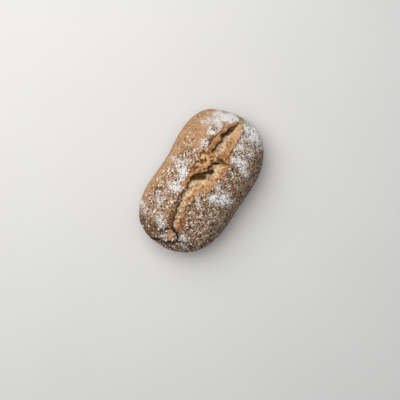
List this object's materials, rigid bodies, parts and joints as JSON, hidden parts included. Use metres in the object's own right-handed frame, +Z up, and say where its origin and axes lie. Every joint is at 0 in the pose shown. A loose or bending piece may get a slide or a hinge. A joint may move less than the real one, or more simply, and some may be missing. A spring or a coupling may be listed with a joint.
{
  "type": "sourdough loaf",
  "caption": "Long round-cornered bread loaf with one torn lengthwise slash, cracked narrow end and bran flakes standing out of a floured crust.",
  "frame": {"origin": "bottom centre of the bounding box, on the surface the loaf lies on", "axes": "+X along the loaf's length, away from the cracked end, +Y across it towards the slash's high lip, +Z up out of the top crust"},
  "size_m": [0.25, 0.1504, 0.088],
  "materials": {
    "crust": "dry matt baked crust with flour and flakes"
  },
  "bodies": {
    "root": {"loaf": "crust"}
  },
  "joints": []
}
